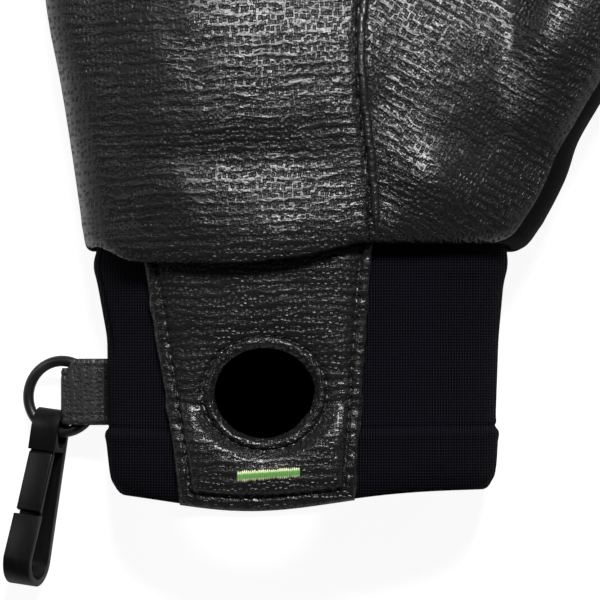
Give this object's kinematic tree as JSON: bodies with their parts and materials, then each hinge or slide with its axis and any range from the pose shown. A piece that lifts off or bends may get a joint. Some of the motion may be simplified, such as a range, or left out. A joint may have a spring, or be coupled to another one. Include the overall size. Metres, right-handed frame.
{
  "type": "climbing glove",
  "caption": "Right-hand full-finger climbing glove with embossed leather palm, softshell back, knit cuff, leather wrist tab with a bound hole, and a ring with a snap hook on a side strap.",
  "frame": {"origin": "on the flat of the back of the hand that the glove rests on, under the middle of the palm", "axes": "+X to the thumb side, +Y to the fingertips, +Z out of the palm"},
  "size_m": [0.1674, 0.267, 0.04],
  "materials": {
    "palm_leather": "black embossed leather with a satin gloss",
    "tab_leather": "black embossed leather, satin",
    "strap_leather": "dark grey grained leather",
    "softshell": "black softshell fabric",
    "knit": "black fine-ribbed knit with a slight blue tint",
    "green_thread": "green satin-stitched thread",
    "black_metal": "black coated wire",
    "hook_plastic": "black satin plastic"
  },
  "bodies": {
    "glove": {"palm_panel": "palm_leather", "thumb_panel": "palm_leather", "back_panel": "softshell", "cuff": "knit", "wrist_tab": "tab_leather", "hole_binding": "tab_leather", "bar_tack": "green_thread", "ring_strap": "strap_leather", "ring": "black_metal", "hook_body": "hook_plastic"},
    "gate": {"hook_gate": "hook_plastic"}
  },
  "joints": [
    {"name": "gate_hinge", "type": "hinge", "parent": "glove", "child": "gate", "pos_m": [-0.06071, -0.09114, 0.00741], "axis": [0.9111, -0.1313, 0.3907], "range_deg": [0, 18], "stiffness_Nm_per_rad": 0.17}
  ]
}
